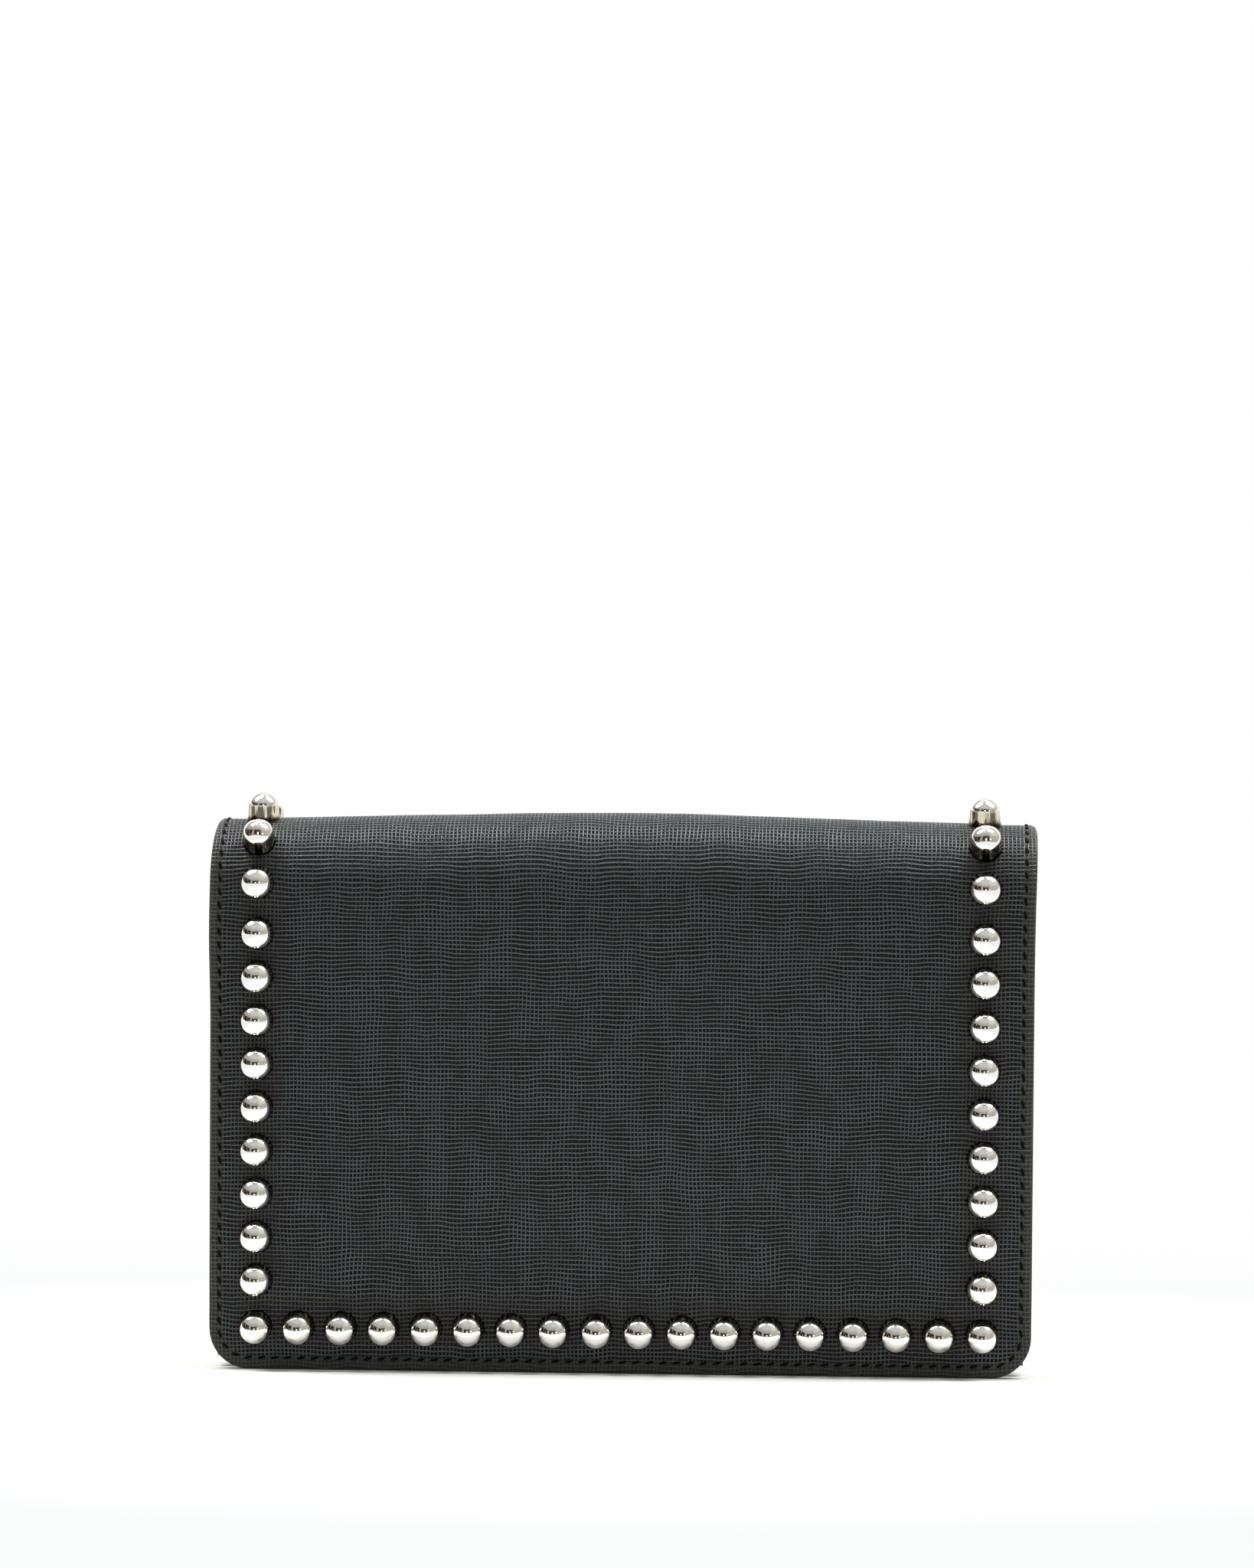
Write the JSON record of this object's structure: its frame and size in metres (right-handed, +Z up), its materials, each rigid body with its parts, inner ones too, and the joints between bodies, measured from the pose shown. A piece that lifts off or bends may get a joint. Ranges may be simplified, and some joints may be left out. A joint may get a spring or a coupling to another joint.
{
  "type": "chain wallet",
  "caption": "Small flap wallet for a shoulder chain: leather wrap over a rolled top, studded border, fanned gussets, zipped pocket, card pockets and a ring at each top corner.",
  "frame": {"origin": "middle of the footprint at floor level, with the wallet standing upright and its flap closed", "axes": "+X across the wallet, +Y from the plain studded back towards the flap, +Z up"},
  "size_m": [0.19, 0.0402, 0.1335],
  "materials": {
    "wrap_leather": "satin, crosshatch embossed",
    "lining_leather": "matte, smooth",
    "card_leather": "satin, smooth",
    "gusset_leather": "satin, smooth",
    "pocket_leather": "satin, smooth",
    "stiffening_board": "matte",
    "stud_metal": "polished nickel",
    "ring_metal": "polished nickel",
    "zip_metal": "polished nickel",
    "magnet_metal": "plain",
    "zip_tape": "matte woven"
  },
  "bodies": {
    "back": {"back_leather": "wrap_leather", "back_stiffener": "stiffening_board", "back_lining": "lining_leather", "card_pocket_upper": "card_leather", "card_pocket_middle": "card_leather", "card_pocket_lower": "card_leather", "base_strip": "gusset_leather", "back_studs_hem": "stud_metal", "back_studs_left": "stud_metal", "back_studs_right": "stud_metal", "gusset_left_back": "gusset_leather", "gusset_right_back": "gusset_leather"},
    "roll_rear": {"roll_leather_rear": "wrap_leather", "roll_lining_rear": "lining_leather", "roll_studs_rear": "stud_metal"},
    "roll_crown": {"roll_leather_crown": "wrap_leather", "roll_lining_crown": "lining_leather", "roll_studs_crown": "stud_metal"},
    "roll_front": {"roll_leather_front": "wrap_leather", "roll_lining_front": "lining_leather", "roll_studs_front": "stud_metal"},
    "flap": {"flap_leather": "wrap_leather", "flap_stiffener": "stiffening_board", "flap_magnet": "magnet_metal", "flap_lining": "lining_leather", "flap_studs_hem": "stud_metal", "flap_studs_left": "stud_metal", "flap_studs_right": "stud_metal"},
    "pocket": {"pocket_wall_back": "pocket_leather", "pocket_wall_front": "pocket_leather", "zip_tape_back": "zip_tape", "zip_tape_front": "zip_tape", "zip_teeth_back": "zip_metal", "zip_teeth_front": "zip_metal", "zip_stops": "zip_metal", "ring_tab_left": "wrap_leather", "ring_tab_right": "wrap_leather", "tab_rivets": "zip_metal", "gusset_left_front": "gusset_leather", "gusset_right_front": "gusset_leather"},
    "front": {"front_leather": "wrap_leather", "front_stiffener": "stiffening_board", "front_magnet": "magnet_metal", "front_lining": "lining_leather"},
    "slider": {"zip_slider": "zip_metal"},
    "pull": {"zip_pull": "zip_metal"},
    "ring_left": {"chain_ring_left": "ring_metal"},
    "ring_right": {"chain_ring_right": "ring_metal"}
  },
  "joints": [
    {"name": "roll_1", "type": "hinge", "parent": "back", "child": "roll_rear", "pos_m": [0, -0.01346, 0.1173], "axis": [1, 0, 0], "range_deg": [0, 46.25]},
    {"name": "roll_2", "type": "hinge", "parent": "roll_rear", "child": "roll_crown", "pos_m": [0, -0.00757, 0.12535], "axis": [1, 0, 0], "range_deg": [0, 46.25]},
    {"name": "roll_3", "type": "hinge", "parent": "roll_crown", "child": "roll_front", "pos_m": [0, 0.00218, 0.12743], "axis": [1, 0, 0], "range_deg": [0, 46.25]},
    {"name": "roll_4", "type": "hinge", "parent": "roll_front", "child": "flap", "pos_m": [0, 0.01085, 0.12249], "axis": [1, 0, 0], "range_deg": [0, 46.25]},
    {"name": "pocket_fan", "type": "hinge", "parent": "back", "child": "pocket", "pos_m": [0, 0.00767, 0], "axis": [-1, 0, 0], "range_deg": [0, 5.5], "deforming": ["gusset_left_back", "gusset_right_back"]},
    {"name": "front_fan", "type": "hinge", "parent": "pocket", "child": "front", "pos_m": [0, 0.00767, 0], "axis": [-1, 0, 0], "range_deg": [0, 5.5], "deforming": ["gusset_left_front", "gusset_right_front"]},
    {"name": "zip_run", "type": "slide", "parent": "pocket", "child": "slider", "axis": [1, 0, 0], "range_m": [0, 0.096]},
    {"name": "pull_tilt", "type": "hinge", "parent": "slider", "child": "pull", "pos_m": [-0.05, -0.00061, 0.1078], "axis": [0, -1, 0], "range_deg": [0, 150]},
    {"name": "ring_left_lift", "type": "hinge", "parent": "pocket", "child": "ring_left", "pos_m": [-0.082, -0.00061, 0.10715], "axis": [0, 1, 0], "range_deg": [0, 150]},
    {"name": "ring_right_lift", "type": "hinge", "parent": "pocket", "child": "ring_right", "pos_m": [0.082, -0.00061, 0.10715], "axis": [0, -1, 0], "range_deg": [0, 150]}
  ],
  "couplings": [
    {"joint": "roll_2", "follows": "roll_1", "ratio": 1},
    {"joint": "roll_3", "follows": "roll_1", "ratio": 1},
    {"joint": "roll_4", "follows": "roll_1", "ratio": 1},
    {"joint": "pocket_fan", "follows": "roll_1", "ratio": 0.11892},
    {"joint": "front_fan", "follows": "roll_1", "ratio": 0.11892}
  ]
}
